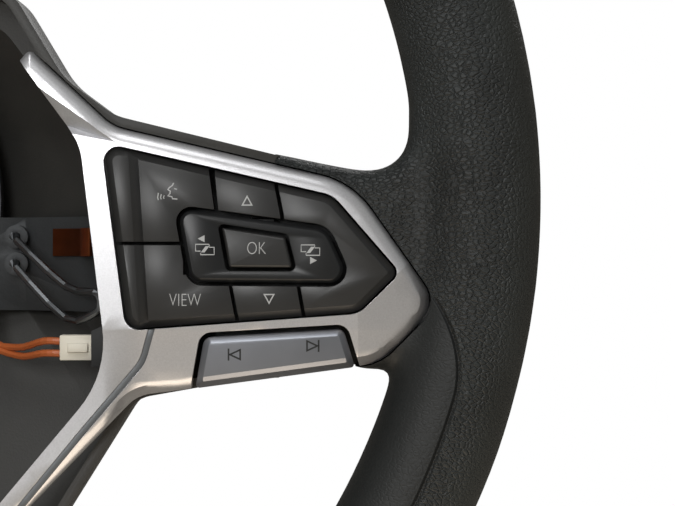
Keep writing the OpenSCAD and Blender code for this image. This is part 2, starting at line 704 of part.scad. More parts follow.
module main_plug() color("#26282a") stand() {
  translate([-plug_w / 2, main_y, main_z]) cube([plug_w, 12, 10]);
  translate([-4, main_y + 3, main_z + 10 - 0.01]) cube([8, 6, 2]);
}

wire_r = 0.9;

module harness() for (i = [0, 1]) cord(smooth([[66.35, -35 - 3 * i, 44.5], [62, -35 - 3 * i, 43],
  [54, -37 - 2 * i, 33], [46 - 2 * i, -34, 25], [42 - 3 * i, -14, 23.5], [41 - 3 * i, 4, 23.5],
  [38 - 3 * i, 18, 22.5], [28 - 2 * i, 28 + i, 21], [18, 28 + 3 * i, 20.6],
  [plug_w / 2 + 0.1, 28 + 3.5 * i, 20.5]], 4), wire_r);

module harness_right() sided(true, "#a8532f") harness();
module harness_left() sided(false, "#a8532f") harness();

module screw(low, head_r, head_h, length) translate([0, 0, low]) {
  cylinder(r = head_r, h = head_h);
  cylinder(r = screw_r, h = head_h + length);
}

module switch_screws() color("#8a8c8e") stand() both_sides() for (x = screw_x)
  translate([x, arm_y, 0]) screw(34.4 - 2.4, 3.8, 2.4, back_z + 1 - 34.4);

module cover_screws() color("#3a3c3e") stand() for (a = cover_angles)
  rotate(a) translate([cover_pcd / 2, 0, 0]) screw(-2.2, 3.6, 2.2, plate_z);

armature();
hub_insert();
rim_foam();
grip_leather();
thumb_leather_right();
thumb_leather_left();
rear_cover();
trim_right();
trim_left();
inlay_right();
inlay_left();
key_frame_right();
key_frame_left();
switch_back_right();
switch_back_left();
board_right();
board_left();
dome_mat_right();
dome_mat_left();
wing_cover_right();
wing_cover_left();
voice_key();
up_key();
view_key();
down_key();
ok_key();
page_rocker();
track_rocker();
assist_key();
plus_key();
resume_key();
minus_key();
set_key();
distance_rocker();
speed_rocker();
module_clip_right();
module_clip_left();
horn_contact_right();
horn_contact_left();
switch_plug_right();
switch_plug_left();
main_plug();
harness_right();
harness_left();
switch_screws();
cover_screws();
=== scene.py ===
"""Looks of a car steering wheel with its airbag module taken out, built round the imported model.

The wheel stands upright: X to the right, Z towards twelve o'clock, and the driver looks along +Y.
Outlines are given in millimetres as (x, y) seen by the driver, with heights towards the driver.
"""

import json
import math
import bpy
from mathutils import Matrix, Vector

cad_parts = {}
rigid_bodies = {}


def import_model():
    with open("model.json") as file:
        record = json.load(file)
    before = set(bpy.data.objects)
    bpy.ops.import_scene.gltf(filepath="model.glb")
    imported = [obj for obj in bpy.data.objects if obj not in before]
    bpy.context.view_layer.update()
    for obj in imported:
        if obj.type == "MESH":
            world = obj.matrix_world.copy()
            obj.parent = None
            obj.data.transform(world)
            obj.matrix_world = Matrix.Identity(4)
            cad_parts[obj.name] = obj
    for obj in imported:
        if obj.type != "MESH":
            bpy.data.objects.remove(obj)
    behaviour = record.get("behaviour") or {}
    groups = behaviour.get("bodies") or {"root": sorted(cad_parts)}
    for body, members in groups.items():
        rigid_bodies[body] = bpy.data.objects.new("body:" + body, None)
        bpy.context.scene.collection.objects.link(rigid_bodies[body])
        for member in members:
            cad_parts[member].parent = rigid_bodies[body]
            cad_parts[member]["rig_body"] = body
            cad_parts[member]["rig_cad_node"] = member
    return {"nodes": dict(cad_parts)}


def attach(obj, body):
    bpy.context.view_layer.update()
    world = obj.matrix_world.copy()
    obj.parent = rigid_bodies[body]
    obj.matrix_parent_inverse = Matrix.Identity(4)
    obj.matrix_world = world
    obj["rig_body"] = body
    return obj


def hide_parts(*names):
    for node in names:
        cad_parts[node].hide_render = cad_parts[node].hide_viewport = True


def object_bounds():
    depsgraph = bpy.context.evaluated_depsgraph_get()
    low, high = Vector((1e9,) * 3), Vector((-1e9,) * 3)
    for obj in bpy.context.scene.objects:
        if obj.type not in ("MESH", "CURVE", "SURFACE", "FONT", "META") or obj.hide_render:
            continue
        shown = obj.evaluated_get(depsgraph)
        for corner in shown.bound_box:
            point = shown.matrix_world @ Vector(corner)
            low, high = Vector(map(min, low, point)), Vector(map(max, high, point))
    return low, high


bl_info = {
    "name": "Steering Wheel Looks",
    "version": (1, 0, 0),
    "blender": (4, 5, 0),
    "location": "3D View > Sidebar > Wheel",
    "description": "Leather, satin trim, switches and hub parts of a car steering wheel",
    "category": "Object",
}

import bmesh
import bpy
from bpy.props import FloatProperty, FloatVectorProperty, IntProperty, PointerProperty
from mathutils import Vector

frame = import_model()
CAD_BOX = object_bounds()

# Corners are (x, y, corner radius) in mm, anticlockwise, for the right-hand side
TRIM = [(55.5, 31, 2), (64, -36, 4), (30, -84, 8), (25, -112, 14), (24.5, -151.3, 1.5), (35, -150.5, 1.5),
        (38, -112, 30), (53, -82, 30), (86, -47.85, 10), (145.2, -39.9, 12), (159.2, -25.6, 7),
        (138.4, 3.9, 21), (80.4, 17.45, 12), (60, 36.4, 1.5)]
POCKET = [(40.8, -88.4, 18), (79.4, -42.4, 26), (72.6, 13, 14), (50, 44, 16), (30, 51, 24)]
KEY_FIELD = [(78.1, 13.1, 3.3), (84, -31.6, 3.5), (139.8, -27.5, 6), (149.5, -18, 2.2), (133.5, 0.4, 7)]
NOTCH = [(102.6, -33.6, 2.2), (98.6, -56, 1), (143.6, -56, 1), (136.2, -31.6, 2)]
ROOT = [(104, 14.0, 1.6), (104, -6, 1.6), (130, -38, 3), (143.5, -42.5, 5), (152.5, -37.4, 3), (166, -37, 1),
        (166, 41, 1), (152.2, 29, 16), (153.2, 4.9, 10), (137, 7.6, 20)]
INLAY = [(90.2, -30.4, 1), (87.6, -39.6, 10), (74, -55.4, 60), (47, -88, 40), (34.5, -112, 40), (31, -149, 1)]

# Heights towards the driver, in mm
FACE = 57.0
KEY_TOP = 57.6
SKIRT_LOW = 48.0
ARM_TOP = 39.5
ROOT_LOW = 28.7
DISH = 45.0
# From below the trim to above it, for tools that cut right through
THROUGH = (30, 80)
# The rim's section: radius of its middle, half its width and thickness, how square it is, and its points
RIM_RADIUS = 169.6
RIM_HALF_W = 15.4
RIM_HALF_T = 17.0
RIM_POWER = 2.25
RIM_POINTS = 56
# The rear cover's strip takes over from the root at this x
ROOT_END = 119.7
# The root is drawn smooth over this x and the next few mm, and up to this y and the last few mm
SOFT_X = (124, 8)
SOFT_Y = (62, 14)
SOFT_LEAST = 0.04
# The thumb panel's seam, in mm: its radius, and how far in from there it starts by the trim's tip
SEAM_RADIUS = 170.0
SEAM_IN = 10.2
# In degrees below the horizontal: where the seam starts and reaches its radius, and where the panel ends
SEAM_BEND = (8.6, 16.6)
THUMB_TO = 58.0
# The windows of the trim are this much larger than the key field and the rocker's notch, in mm
KEY_ROOM = 0.45
NOTCH_ROOM = 1.2
# The grain's scale across the rim, and its metres for one radian round the wheel
GRAIN_ACROSS = 0.62
GRAIN_ROUND = 0.168
# Shades of the hide, as shares of its colour; those of the grain's valleys and of the thumb panel are painted
# shade
HIDE_SHADES = {"deep": 0.80, "worn": 1.14, "valley_shade": 0.7, "panel": 0.66, "seam": 0.5}
# Slope of the crease in the trim and how far it lies below the middle, in metres, by the keys and by the tip
CREASE_LINES = ((0.0735, 0.03777), (0.98, 0.1645))
CREASE_FADES = (0.078, 0.09)
CREASE_LEAN = 0.15
# How far the keys' middle lies below the wheel's, in metres
KEYS_BELOW = 0.012
GLOSS_SPREAD = 0.05
# Signs in mm: half the thickness they are drawn with, and how far they stand out of and lie in the surface
SIGN_HALF = 0.02
SIGN_OUT = 0.03
SIGN_IN = 0.01
LETTERS_TALL = 2.9
# The camera in mm, the distance from it to the trim's face, the width seen there, and its sensor's width
CAMERA = (134.8, -13.2, 607)
CAMERA_AWAY = 550
WIDTH_SEEN = 162.9
SENSOR = 36
# The floor in metres: half its width, its back edge, and the curve and height of the wall
FLOOR_HALF = 9
FLOOR_BACK = 1.4
CURVE_RADIUS = 0.6
CURVE_STEPS = 12
WALL_HEIGHT = 8
SIDES = (("right", 1), ("left", -1))


class WheelLooks(bpy.types.PropertyGroup):
    """Sizes and colours of the wheel's finishes"""

    leather_colour: FloatVectorProperty(
        name="Leather", description="Colour of the leather on the rim", subtype="COLOR_GAMMA",
        default=(0.158, 0.170, 0.170), min=0, max=1)
    trim_colour: FloatVectorProperty(
        name="Trim", description="Colour of the satin silver trim", subtype="COLOR_GAMMA",
        default=(0.80, 0.80, 0.81), min=0, max=1)
    key_colour: FloatVectorProperty(
        name="Keys", description="Colour of the moulded keys", subtype="COLOR_GAMMA",
        default=(0.158, 0.158, 0.157), min=0, max=1)
    grain: FloatProperty(
        name="Grain", description="Width of one pebble of the leather's grain", subtype="DISTANCE",
        default=0.00105, min=0.0004, max=0.004)
    key_edge: FloatProperty(
        name="Key edge", description="Rounding of the edges of the keys", subtype="DISTANCE",
        default=0.00022, min=0.00005, max=0.0008)
    trim_edge: FloatProperty(
        name="Trim edge", description="Rounding of the trim's edges round its openings", subtype="DISTANCE",
        default=0.0004, min=0.0001, max=0.001)
    rim_voxel: FloatProperty(
        name="Leather mesh", description="Size of the faces of the leather's mesh", subtype="DISTANCE",
        default=0.0016, min=0.0012, max=0.004)
    spin_steps: IntProperty(
        name="Rim steps", description="Steps of the rim's section round the wheel",
        default=220, min=60, max=400)


def looks():
    return bpy.context.scene.wheel_looks


# Outlines


def turned(v):
    return Vector((-v[1], v[0]))


def moved_in(points, d):
    """A closed outline moved inwards by d, point for point."""
    out = []
    for i, p in enumerate(points):
        a = turned((p - points[i - 1]).normalized())
        b = turned((points[(i + 1) % len(points)] - p).normalized())
        out.append(p + (a + b) * d / (1 + a.dot(b)))
    return out


def arc(a, b, c, r, steps):
    """Points of the rounded corner b between its neighbours a and c."""
    u = (a - b).normalized()
    v = (c - b).normalized()
    half = math.acos(max(-1, min(1, u.dot(v)))) / 2
    mid = b + (u + v).normalized() * r / math.sin(half)
    first = b + u * r / math.tan(half) - mid
    last = b + v * r / math.tan(half) - mid
    start = math.atan2(first.y, first.x)
    sweep = math.atan2(last.y, last.x) - start
    sweep = (sweep + math.pi) % (2 * math.pi) - math.pi
    return [mid + r * Vector((math.cos(start + sweep * i / steps), math.sin(start + sweep * i / steps)))
            for i in range(steps + 1)]


def outline(corners, d=0.0, steps=8, least=0.3):
    """A rounded outline moved inwards by d: outer corners get sharper, inner ones rounder."""
    p = [Vector(c[:2]) for c in corners]
    q = moved_in(p, d)
    n = len(p)
    out = []
    for i in range(n):
        a = p[i] - p[i - 1]
        b = p[(i + 1) % n] - p[i]
        r = max(corners[i][2] - d * math.copysign(1, a.x * b.y - a.y * b.x), least)
        out += arc(q[i - 1], q[i], q[(i + 1) % n], r, steps)
    return out


def flipped(corners):
    return [(-x, y, r) for x, y, r in reversed(corners)]


def sided(points, side):
    """The same outline on the other side, still anticlockwise."""
    return points if side > 0 else [Vector((-p.x, p.y)) for p in reversed(points)]


def open_path(corners, steps=10):
    p = [Vector(c[:2]) for c in corners]
    out = [p[0]]
    for i in range(1, len(p) - 1):
        out += arc(p[i - 1], p[i], p[i + 1], corners[i][2], steps)
    return out + [p[-1]]


def ribbon(points, left, right):
    """An outline round an open path, reaching left and right of it."""
    n = len(points)
    side = [turned((points[min(i + 1, n - 1)] - points[max(i - 1, 0)]).normalized()) for i in range(n)]
    return [p - s * right for p, s in zip(points, side)] + [p + s * left for p, s in
                                                            reversed(list(zip(points, side)))]


def place(x, y, height):
    """A point of the wheel seen by the driver, in the frame, in metres."""
    return Vector((x, -height, y)) / 1000


# Modelling steps


def only(*objects):
    """Selects these objects alone, and makes the first one active."""
    if bpy.context.object and bpy.context.object.mode != "OBJECT":
        bpy.ops.object.mode_set(mode="OBJECT")
    bpy.ops.object.select_all(action="DESELECT")
    for o in objects:
        o.select_set(True)
    bpy.context.view_layer.objects.active = objects[0]


def outward(piece):
    """Merges what lies together and turns every face outwards."""
    only(piece)
    bpy.ops.object.mode_set(mode="EDIT")
    bpy.ops.mesh.select_all(action="SELECT")
    bpy.ops.mesh.remove_doubles(threshold=1e-6)
    bpy.ops.mesh.normals_make_consistent(inside=False)
    bpy.ops.object.mode_set(mode="OBJECT")


def risen(name, levels):
    """A solid drawn up through levels of (outline, height), each extruded from the one before."""
    n = len(levels[0][0])
    bpy.ops.object.select_all(action="DESELECT")
    bpy.ops.mesh.primitive_circle_add(vertices=n, radius=0.01, fill_type="NGON")
    piece = bpy.context.object
    piece.name = name
    for v, p in zip(piece.data.vertices, levels[0][0]):
        v.co = place(p[0], p[1], levels[0][1])
    bpy.ops.object.mode_set(mode="EDIT")
    bpy.ops.mesh.select_all(action="SELECT")
    bpy.ops.mesh.select_mode(type="FACE")
    for (last, _), (points, height) in zip(levels, levels[1:]):
        bpy.ops.mesh.extrude_region_move(TRANSFORM_OT_translate={"value": (0, -0.001, 0)})
        shape = bmesh.from_edit_mesh(piece.data)
        top = next(f for f in shape.faces if f.select)
        # Each corner of the extruded face moves on from the point of the last outline that it lies over
        for v in top.verts:
            i = min(range(n), key=lambda k: abs(v.co.x - last[k][0] / 1000) + abs(v.co.z - last[k][1] / 1000))
            v.co = place(points[i][0], points[i][1], height)
        bmesh.update_edit_mesh(piece.data)
    bpy.ops.object.mode_set(mode="OBJECT")
    outward(piece)
    return piece


def slab(name, points, low, high):
    return risen(name, [(points, low), (points, high)])


def apply_all(piece):
    only(piece)
    for m in list(piece.modifiers):
        bpy.ops.object.modifier_apply(modifier=m.name)


def combine(piece, tool, how="DIFFERENCE"):
    """Cuts, joins or crosses piece with tool, which is then gone."""
    m = piece.modifiers.new("shape", "BOOLEAN")
    m.operation = how
    m.solver = "EXACT"
    m.object = tool
    apply_all(piece)
    bpy.data.objects.remove(tool)
    if not len(piece.data.polygons):
        raise RuntimeError(f"{piece.name} lost its faces")


def cut_through(piece, points):
    combine(piece, slab("tool", points, *THROUGH))


def mirror(piece):
    """Makes the left-hand piece of a right-hand one."""
    for v in piece.data.vertices:
        v.co.x = -v.co.x
    piece.data.flip_normals()


def bisect(piece, lines, **how):
    """Cuts a piece along each line seen by the driver, given in mm as a point and its normal."""
    only(piece)
    bpy.ops.object.mode_set(mode="EDIT")
    for (x, y), (nx, ny) in lines:
        bpy.ops.mesh.select_all(action="SELECT")
        bpy.ops.mesh.bisect(plane_co=place(x, y, 0), plane_no=(nx, 0, ny), **how)
    bpy.ops.object.mode_set(mode="OBJECT")


def bevel(piece, width, angle):
    """Rounds the edges that turn by more than angle, in degrees."""
    m = piece.modifiers.new("edges", "BEVEL")
    m.width = width
    m.segments = 2
    m.limit_method = "ANGLE"
    m.angle_limit = math.radians(angle)
    apply_all(piece)


def smooth(piece, angle=40):
    only(piece)
    bpy.ops.object.shade_smooth_by_angle(angle=math.radians(angle))


def round_edges(piece, width, angle):
    """Rounds the sharp edges, so that they catch the light, and shades the rest smooth."""
    bevel(piece, width, angle)
    smooth(piece)


def from_nodes(name, *nodes):
    """A merged copy of CAD nodes, to be finished further."""
    copies = []
    for node in nodes:
        o = frame["nodes"][node].copy()
        o.data = o.data.copy()
        o.parent = None
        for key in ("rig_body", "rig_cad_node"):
            if key in o:
                del o[key]
        bpy.context.scene.collection.objects.link(o)
        copies.append(o)
    only(*copies)
    if len(copies) > 1:
        bpy.ops.object.join()
    piece = bpy.context.object
    piece.name = name
    piece.data.materials.clear()
    bpy.ops.object.mode_set(mode="EDIT")
    bpy.ops.mesh.select_all(action="SELECT")
    bpy.ops.mesh.remove_doubles(threshold=2e-6)
    bpy.ops.mesh.dissolve_limited(angle_limit=math.radians(0.5))
    bpy.ops.object.mode_set(mode="OBJECT")
    only(piece)
    bpy.ops.mesh.customdata_custom_splitnormals_clear()
    return piece


def settle(piece, name, body, slot, material, *nodes):
    """Names a finished piece, gives it its finish and lets it ride and stand for its CAD nodes."""
    only(piece)
    bpy.ops.object.transform_apply(location=True, rotation=True, scale=True)
    piece.name = name
    piece.data.name = name
    piece.data.materials.clear()
    piece.data.materials.append(material)
    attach(piece, body)
    if nodes:
        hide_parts(*nodes)


# Finishes


def linear(colour):
    """Linear red, green and blue of an sRGB hex colour or of three sRGB values."""
    if isinstance(colour, str):
        colour = [int(colour[i:i + 2], 16) / 255 for i in (1, 3, 5)]
    return [c / 12.92 if c <= 0.04045 else ((c + 0.055) / 1.055) ** 2.4 for c in colour] + [1]


def tinted(colour, by):
    """An sRGB colour made paler or darker."""
    return [min(1, c * by) for c in colour]


def feed(tree, source, node, socket):
    """Links a source, which is a (node, output), into a socket."""
    tree.links.new(source[0].outputs[source[1]], node.inputs[socket])


def add(tree, kind, settings=None, links=None):
    """Adds a node: settings are its values and its sockets' values, links the sources of its sockets."""
    node = tree.nodes.new(kind)
    for key, value in (settings or {}).items():
        if isinstance(key, str) and hasattr(node, key):
            setattr(node, key, value)
        else:
            node.inputs[key].default_value = value
    for socket, source in (links or {}).items():
        feed(tree, source, node, socket)
    return node


def give(tree, node, socket, value):
    """Links a source into a socket, or sets the socket to a plain value."""
    if isinstance(value, tuple):
        feed(tree, value, node, socket)
    else:
        node.inputs[socket].default_value = value


def blend_colours(tree, fac, a, b):
    """A mix of two colours, each a colour or a source."""
    node = add(tree, "ShaderNodeMix", {"data_type": "RGBA"}, {0: fac})
    give(tree, node, 6, a)
    give(tree, node, 7, b)
    return node, 2


def calc(tree, how, a, b=None):
    """One step of arithmetic on numbers or sources."""
    node = add(tree, "ShaderNodeMath", {"operation": how})
    give(tree, node, 0, a)
    if b is not None:
        give(tree, node, 1, b)
    return node, 0


def times(tree, a, b):
    return calc(tree, "MULTIPLY", a, b)


def less(tree, a, b):
    return calc(tree, "SUBTRACT", a, b)


def eased(tree, value, low, high):
    """0 below low, 1 above high, smooth between."""
    ends = {"interpolation_type": "SMOOTHSTEP", "From Min": low, "From Max": high}
    return add(tree, "ShaderNodeMapRange", ends, {"Value": value}), 0


def between(tree, value, low, high):
    """Carries 0 to 1 over to low to high."""
    return add(tree, "ShaderNodeMapRange", {"To Min": low, "To Max": high}, {"Value": value}), 0


def noise(tree, at, scale, detail=2.0):
    return add(tree, "ShaderNodeTexNoise", {"Scale": scale, "Detail": detail}, {"Vector": at}), 0


def bumped(tree, height, distance, under=None):
    """The normal of a relief, laid over another one where that is given."""
    links = {"Height": height}
    if under:
        links["Normal"] = under
    return add(tree, "ShaderNodeBump", {"Strength": 1.0, "Distance": distance}, links), 0


def parts(tree, at):
    """The three coordinates of a point."""
    split = add(tree, "ShaderNodeSeparateXYZ", links={0: at})
    return (split, 0), (split, 1), (split, 2)


def finish_of(name):
    """A new material with its shader and the point of the surface, in the object's own coordinates."""
    material = bpy.data.materials.new(name)
    material.use_nodes = True
    tree = material.node_tree
    shader = tree.nodes["Principled BSDF"]
    where = add(tree, "ShaderNodeTexCoord")
    return material, tree, shader, (where, "Object")


def moulded(name, dark, light, roughness, grit, depth, metallic=0.0, patch=0.012, ior=1.5, crowned=0.0):
    """A surface with a fine grit of the given size in metres, and slow changes of colour and of gloss.

    A crowned one falls away from the keys' middle line by so much times the distance squared.
    """
    material, tree, shader, at = finish_of(name)
    slow = noise(tree, at, 1 / patch, 3.0)
    fine = noise(tree, at, 1 / grit)
    feed(tree, blend_colours(tree, slow, linear(dark), linear(light)), shader, "Base Color")
    rough = between(tree, slow, roughness - GLOSS_SPREAD, roughness + GLOSS_SPREAD)
    feed(tree, rough, shader, "Roughness")
    bulge = None
    if crowned:
        from_middle = calc(tree, "ADD", parts(tree, at)[2], KEYS_BELOW)
        rise = times(tree, times(tree, from_middle, from_middle), -crowned)
        bulge = bumped(tree, rise, 1.0)
    feed(tree, bumped(tree, fine, depth, bulge), shader, "Normal")
    shader.inputs["Metallic"].default_value = metallic
    shader.inputs["IOR"].default_value = ior
    return material


def leather():
    """Full-grain cow hide, dyed through and pressed: soft pebbles about 1 mm wide, with a low sheen.

    The thumb panels below the spokes are smooth hide, sewn in along a seam that dips into the foam.
    """
    grain = looks().grain
    material, tree, shader, at = finish_of("leather_hide")
    side, back, up = parts(tree, at)
    across = calc(tree, "ABSOLUTE", side)
    radius = calc(tree, "SQRT", calc(tree, "ADD", times(tree, side, side), times(tree, up, up)))
    below = calc(tree, "ARCTAN2", times(tree, up, -1.0), across)
    # Distance in metres into the thumb panel, negative outside it
    first, last = [math.radians(a) for a in SEAM_BEND]
    turn = add(tree, "ShaderNodeMapRange", {"From Min": last, "From Max": first}, {"Value": below})
    bend = times(tree, calc(tree, "POWER", (turn, 0), 2.0), SEAM_IN / 1000)
    inside = less(tree, less(tree, SEAM_RADIUS / 1000, bend), radius)
    before = times(tree, less(tree, math.radians(THUMB_TO), below), radius)
    into = calc(tree, "MINIMUM", inside, before)
    lower = calc(tree, "GREATER_THAN", below, first)
    panel = times(tree, eased(tree, into, -0.0003, 0.0003), lower)
    seam = less(tree, 1.0, eased(tree, calc(tree, "ABSOLUTE", into), 0.0, 0.0009))
    seam = times(tree, seam, lower)
    # Pebbles in coordinates that run round the wheel, bent by noise and wider across the rim than along it
    spread = add(tree, "ShaderNodeCombineXYZ", links={
        0: times(tree, radius, GRAIN_ACROSS), 1: times(tree, below, GRAIN_ROUND), 2: back})
    drift = noise(tree, (spread, 0), 0.5 / grain, 3.0)
    shift = add(tree, "ShaderNodeVectorMath", {"operation": "SCALE", "Scale": grain * 0.9},
                {0: (drift[0], "Color")})
    bent = add(tree, "ShaderNodeVectorMath", {"operation": "ADD"}, {0: (spread, 0), 1: (shift, 0)})
    pebbles = add(tree, "ShaderNodeTexVoronoi", {"feature": "DISTANCE_TO_EDGE", "Scale": 1 / grain},
                  {"Vector": (bent, 0)})
    wrinkles = add(tree, "ShaderNodeTexNoise", {"Scale": 0.9 / grain, "Detail": 3.0, "Roughness": 0.6},
                   {"Vector": (bent, 0)})
    fine = noise(tree, at, 4 / grain, 3.0)
    slow = noise(tree, at, 40.0, 3.0)
    # The grain is strongest near the rim's crown and on the root, and is stretched smooth towards the sides
    off_crown = calc(tree, "ABSOLUTE", less(tree, radius, (RIM_RADIUS - 3) / 1000))
    tight = less(tree, 1.0, eased(tree, off_crown, 0.004, 0.0165))
    front = eased(tree, times(tree, back, -1.0), 0.044, 0.054)
    root = times(tree, eased(tree, times(tree, radius, -1.0), -0.157, -0.15), front)
    strength = calc(tree, "ADD", 0.3, times(tree, calc(tree, "MAXIMUM", tight, root), 0.7))
    strength = times(tree, strength, less(tree, 1.0, times(tree, panel, 0.88)))
    edge = eased(tree, (pebbles, "Distance"), 0.0, 0.24)
    relief = calc(tree, "ADD", times(tree, edge, 1.05), times(tree, (wrinkles, 0), 0.5))
    relief = times(tree, relief, strength)
    relief = calc(tree, "ADD", relief, times(tree, fine, 0.07))
    relief = less(tree, relief, times(tree, seam, 2.6))
    feed(tree, bumped(tree, relief, 0.00032), shader, "Normal")
    hide = {part: linear(tinted(looks().leather_colour, share)) for part, share in HIDE_SHADES.items()}
    colour = blend_colours(tree, eased(tree, slow, 0.35, 0.65), hide["deep"], hide["worn"])
    # Painted shade: the hide is drawn darker in the grain's valleys, where the pebbles meet
    valley_shade = times(tree, less(tree, 1.0, edge), times(tree, strength, 0.4))
    colour = blend_colours(tree, valley_shade, colour, hide["valley_shade"])
    # Painted light: towards the outside the hide is drawn a little paler and warmer, for the warm light that
    # the rim's outer side catches
    outer = times(tree, eased(tree, radius, 0.172, 0.184), 0.6)
    colour = blend_colours(tree, outer, colour, linear("#3c3d39"))
    # Painted shade: the thumb panel is drawn darker, for the shade on the rim's inner side below the trim
    colour = blend_colours(tree, times(tree, panel, 0.9), colour, hide["panel"])
    colour = blend_colours(tree, times(tree, seam, 0.7), colour, hide["seam"])
    feed(tree, colour, shader, "Base Color")
    feed(tree, between(tree, slow, 0.46, 0.6), shader, "Roughness")
    shader.inputs["Specular IOR Level"].default_value = 0.42
    return material


def satin_trim():
    """ABS painted with fine aluminium flake under a satin lacquer: a soft grey sheen, no mirror image."""
    material, tree, shader, at = finish_of("satin_painted_abs")
    shade = looks().trim_colour
    flake = noise(tree, at, 2600.0)
    slow = noise(tree, at, 30.0)
    colour = blend_colours(tree, flake, linear(tinted(shade, 0.93)), linear(tinted(shade, 1.05)))
    feed(tree, colour, shader, "Base Color")
    feed(tree, between(tree, slow, 0.28, 0.35), shader, "Roughness")
    # Below the crease that follows the keys' lower edge, the face leans down
    side, _, up = parts(tree, at)
    across = calc(tree, "ABSOLUTE", side)
    lines = [less(tree, times(tree, across, slope), drop) for slope, drop in CREASE_LINES]
    below = less(tree, up, calc(tree, "MAXIMUM", *lines))
    lean = times(tree, calc(tree, "MINIMUM", below, 0.0), eased(tree, across, *CREASE_FADES))
    face = bumped(tree, lean, CREASE_LEAN)
    feed(tree, bumped(tree, flake, 0.000006, face), shader, "Normal")
    shader.inputs["Metallic"].default_value = 0.72
    return material


def key_plastic():
    """ABS moulded in a finely sparked tool: a flat charcoal with a grit of 0.25 mm and a weak sheen."""
    shade = looks().key_colour
    return moulded("charcoal_abs", tinted(shade, 0.88), tinted(shade, 1.12), 0.36, 0.00025, 0.000012,
                   crowned=4.0)


def printed(name, colour):
    """Laser-cut or printed sign on a key: a thin flat coat, a little uneven."""
    return moulded(name, colour, tinted(colour, 1.1), 0.5, 0.0004, 0.000004, patch=0.003)


def paper():
    """Matt paper, pale to the eye but darker to other rays, and plain white behind the wheel."""
    material, tree, shader, at = finish_of("matt_paper")
    fibre = noise(tree, at, 400.0)
    ray = add(tree, "ShaderNodeLightPath")
    shown = blend_colours(tree, fibre, linear("#e9e4dc"), linear("#efebe4"))
    cast = blend_colours(tree, fibre, linear("#a9a49b"), linear("#b1aca4"))
    feed(tree, blend_colours(tree, (ray, "Is Camera Ray"), cast, shown), shader, "Base Color")
    shader.inputs["Roughness"].default_value = 0.9
    seen = calc(tree, "MAXIMUM", (ray, "Is Camera Ray"), (ray, "Is Transmission Ray"))
    glow = add(tree, "ShaderNodeEmission", {"Color": (1, 1, 1, 1), "Strength": 1.0})
    share = times(tree, seen, eased(tree, parts(tree, at)[1], 0.25, 0.7))
    mixed = add(tree, "ShaderNodeMixShader", links={0: share, 1: (shader, 0), 2: (glow, 0)})
    feed(tree, (mixed, 0), tree.nodes["Material Output"], "Surface")
    return material


# Material, darkest and palest colour, roughness, the grit's size and depth in metres, and what else differs
MOULDED = {
    # Painted like the trim in a darker grey
    "inlay": ("satin_dark_grey_paint", "#5d6062", "#6c6f72", 0.42, 0.0004, 0.00001, {"metallic": 0.5}),
    "rocker": ("satin_metal_paint_cool", "#85888f", "#92959c", 0.32, 0.0004, 0.000006,
               {"metallic": 0.8, "crowned": 2.2}),
    # The ring round the middle key is darker than the keys and polished
    "ring": ("polished_charcoal_abs", "#1a1b1c", "#222324", 0.3, 0.0003, 0.000006,
             {"ior": 1.4, "crowned": 1.6}),
    # Polypropylene with a coarse etched texture of about half a millimetre
    "cover": ("etched_black_polypropylene", "#2b2b2a", "#3a3936", 0.5, 0.0006, 0.00004, {}),
    "frame": ("black_glass_filled_nylon", "#141516", "#1d1e1f", 0.55, 0.0005, 0.00002, {}),
    # Magnesium die casting drawn dark grey, as painted shade of the open pocket: matt, pitted at about a
    # millimetre
    "casting": ("die_cast_magnesium", "#3a3c3d", "#4a4c4e", 0.55, 0.0009, 0.00006, {"metallic": 0.6}),
    # Turned steel: tool marks are too fine to show, so a fine grit stands for them
    "steel": ("turned_steel", "#a6a8a9", "#b9bbbd", 0.3, 0.0003, 0.00001, {"metallic": 1.0}),
    # The module clips' spring steel is drawn darker, as painted shade of the open pocket
    "spring": ("drawn_spring_steel", "#6f7275", "#8a8d90", 0.34, 0.0004, 0.000008, {"metallic": 1.0}),
    "copper": ("stamped_copper", "#a3572f", "#c2714a", 0.36, 0.0006, 0.00001, {"metallic": 1.0}),
    "foam": ("moulded_polyurethane_foam", "#232425", "#2f3031", 0.85, 0.0008, 0.00008, {}),
    "nylon": ("natural_nylon", "#d8d2c2", "#e8e2d3", 0.45, 0.0006, 0.00001, {}),
    "board": ("solder_masked_board", "#1c4a2c", "#235a36", 0.35, 0.0006, 0.00001, {}),
    "rubber": ("silicone_rubber", "#c9c9c4", "#d8d8d3", 0.6, 0.0006, 0.00001, {}),
    "wire": ("pvc_insulation", "#a9552a", "#bd6636", 0.4, 0.0008, 0.00001, {}),
}
PRINTED = {"sign": ("pale_sign", (0.66, 0.665, 0.665)), "dark_sign": ("dark_sign", (0.03, 0.03, 0.032))}
FINISHES = {}


def finish(name):
    """The named finish, made once."""
    if name not in FINISHES:
        if name in MOULDED:
            *values, more = MOULDED[name]
            FINISHES[name] = moulded(*values, **more)
        elif name in PRINTED:
            FINISHES[name] = printed(*PRINTED[name])
        else:
            FINISHES[name] = {"leather": leather, "trim": satin_trim, "key": key_plastic}[name]()
    return FINISHES[name]


# Pieces


def unit(value):
    return min(max(value, 0), 1)


def rim_section():
    """Points of the rim's section, as (radius, height)."""
    points = []
    power = 2 / RIM_POWER
    for i in range(RIM_POINTS):
        t = 2 * math.pi * i / RIM_POINTS
        c, s = math.cos(t), math.sin(t)
        points.append((RIM_RADIUS + RIM_HALF_W * math.copysign(abs(c) ** power, c),
                       DISH + RIM_HALF_T * math.copysign(abs(s) ** power, s)))
    return points


